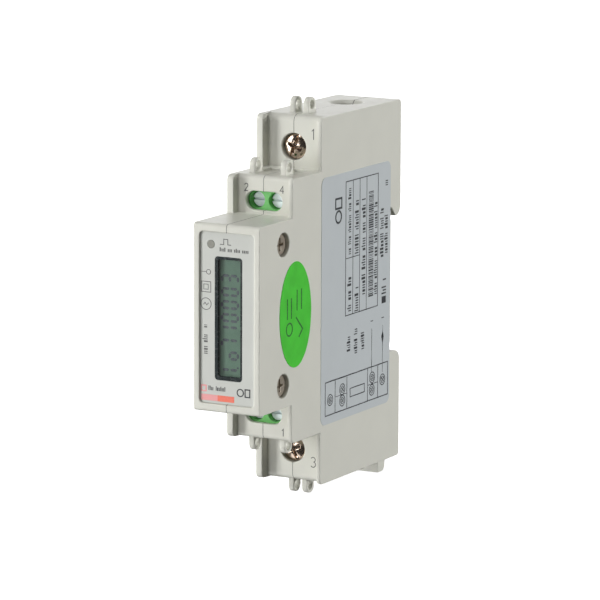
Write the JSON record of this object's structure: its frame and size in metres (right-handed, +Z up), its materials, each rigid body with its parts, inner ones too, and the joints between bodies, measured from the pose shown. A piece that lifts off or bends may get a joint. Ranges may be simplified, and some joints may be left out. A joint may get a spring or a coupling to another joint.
{
  "type": "smart electric meter",
  "caption": "Slim rail-mounted single-phase energy meter with a stepped case, an upright display, screw terminals at both ends, sealing ears and a sprung rail clip.",
  "frame": {"origin": "centre of the rail seat, the flat face that rests on the front of the 35 mm rail", "axes": "+Y out of the rail seat towards the rail, +Z up along the body's height, +X across the one-module width; the display faces -Y"},
  "size_m": [0.0181, 0.0722, 0.0978],
  "materials": {
    "body_plastic": "fine moulded texture, satin",
    "panel_print": "smooth satin print",
    "frame_black": "glossy black border",
    "window_clear": "clear",
    "lcd": "grey-green liquid crystal cell",
    "diffuser": "milky",
    "light_pipe": "clear tinted",
    "led": "red lens",
    "board": "green solder resist",
    "header_black": "moulded",
    "chip_black": "moulded epoxy",
    "can_steel": "bright can",
    "film_capacitor": "yellow case",
    "electrolytic": "dark sleeve",
    "varistor_blue": "blue epoxy",
    "resistor_body": "lacquered",
    "shunt_alloy": "resistance alloy",
    "copper": "bare copper strip",
    "nickel": "bright nickel plate",
    "zinc": "zinc plated",
    "small_screw_steel": "bright zinc plated",
    "terminal_green": "green nylon",
    "spring_steel": "spring wire",
    "label_film": "blue-grey polyester film",
    "sticker_green": "green paper sticker"
  },
  "bodies": {
    "meter": {"housing_left": "body_plastic", "housing_right": "body_plastic", "front_panel": "panel_print", "display_frame": "frame_black", "display_window": "window_clear", "lcd_glass": "lcd", "lcd_backlight": "diffuser", "display_board": "board", "light_pipe": "light_pipe", "pulse_led": "led", "board_header": "header_black", "main_board": "board", "metering_chip": "chip_black", "controller_chip": "chip_black", "crystal": "can_steel", "supply_capacitor": "film_capacitor", "smoothing_capacitors": "electrolytic", "varistor": "varistor_blue", "fuse_resistor": "resistor_body", "optocouplers": "chip_black", "shunt": "shunt_alloy", "busbar_top": "copper", "busbar_bottom": "copper", "terminal_block_top": "terminal_green", "terminal_block_bottom": "terminal_green", "terminal_board_top": "board", "terminal_board_bottom": "board", "terminal_pins": "zinc", "case_screws": "nickel", "clip_spring": "spring_steel", "side_label": "label_film", "oval_sticker": "sticker_green"},
    "rail_clip": {"rail_clip": "body_plastic"},
    "main_screw_top": {"main_screw_top": "nickel"},
    "main_clamp_top": {"main_clamp_top": "zinc"},
    "main_screw_bottom": {"main_screw_bottom": "nickel"},
    "main_clamp_bottom": {"main_clamp_bottom": "zinc"},
    "small_screw_tl": {"small_screw_tl": "small_screw_steel"},
    "small_clamp_tl": {"small_clamp_tl": "zinc"},
    "small_screw_tr": {"small_screw_tr": "small_screw_steel"},
    "small_clamp_tr": {"small_clamp_tr": "zinc"},
    "small_screw_bl": {"small_screw_bl": "small_screw_steel"},
    "small_clamp_bl": {"small_clamp_bl": "zinc"},
    "small_screw_br": {"small_screw_br": "small_screw_steel"},
    "small_clamp_br": {"small_clamp_br": "zinc"}
  },
  "joints": [
    {"name": "rail_clip_slide", "type": "slide", "parent": "meter", "child": "rail_clip", "axis": [0, 0, -1], "range_m": [0, 0.004], "stiffness_N_per_m": 600, "springref_m": -0.006, "deforming": ["clip_spring"]},
    {"name": "main_screw_top_turn", "type": "hinge", "parent": "meter", "child": "main_screw_top", "pos_m": [0, -0.0339, 0.0372], "axis": [0, 1, 0], "range_deg": [0, 2700]},
    {"name": "main_clamp_top_slide", "type": "slide", "parent": "meter", "child": "main_clamp_top", "axis": [0, -1, 0], "range_m": [0, 0.006]},
    {"name": "main_screw_bottom_turn", "type": "hinge", "parent": "meter", "child": "main_screw_bottom", "pos_m": [0, -0.0339, -0.0372], "axis": [0, 1, 0], "range_deg": [0, 2700]},
    {"name": "main_clamp_bottom_slide", "type": "slide", "parent": "meter", "child": "main_clamp_bottom", "axis": [0, -1, 0], "range_m": [0, 0.006]},
    {"name": "small_screw_tl_turn", "type": "hinge", "parent": "meter", "child": "small_screw_tl", "pos_m": [-0.00254, -0.0462, 0.0259], "axis": [0, 1, 0], "range_deg": [0, 1440]},
    {"name": "small_clamp_tl_slide", "type": "slide", "parent": "meter", "child": "small_clamp_tl", "axis": [0, -1, 0], "range_m": [0, 0.002]},
    {"name": "small_screw_tr_turn", "type": "hinge", "parent": "meter", "child": "small_screw_tr", "pos_m": [0.00254, -0.0462, 0.0259], "axis": [0, 1, 0], "range_deg": [0, 1440]},
    {"name": "small_clamp_tr_slide", "type": "slide", "parent": "meter", "child": "small_clamp_tr", "axis": [0, -1, 0], "range_m": [0, 0.002]},
    {"name": "small_screw_bl_turn", "type": "hinge", "parent": "meter", "child": "small_screw_bl", "pos_m": [-0.00254, -0.0462, -0.0259], "axis": [0, 1, 0], "range_deg": [0, 1440]},
    {"name": "small_clamp_bl_slide", "type": "slide", "parent": "meter", "child": "small_clamp_bl", "axis": [0, -1, 0], "range_m": [0, 0.002]},
    {"name": "small_screw_br_turn", "type": "hinge", "parent": "meter", "child": "small_screw_br", "pos_m": [0.00254, -0.0462, -0.0259], "axis": [0, 1, 0], "range_deg": [0, 1440]},
    {"name": "small_clamp_br_slide", "type": "slide", "parent": "meter", "child": "small_clamp_br", "axis": [0, -1, 0], "range_m": [0, 0.002]}
  ],
  "couplings": [
    {"joint": "main_screw_top_turn", "follows": "main_clamp_top_slide", "rad_per_m": 7853.9},
    {"joint": "main_screw_bottom_turn", "follows": "main_clamp_bottom_slide", "rad_per_m": 7853.9},
    {"joint": "small_screw_tl_turn", "follows": "small_clamp_tl_slide", "rad_per_m": 12566},
    {"joint": "small_screw_tr_turn", "follows": "small_clamp_tr_slide", "rad_per_m": 12566},
    {"joint": "small_screw_bl_turn", "follows": "small_clamp_bl_slide", "rad_per_m": 12566},
    {"joint": "small_screw_br_turn", "follows": "small_clamp_br_slide", "rad_per_m": 12566}
  ]
}
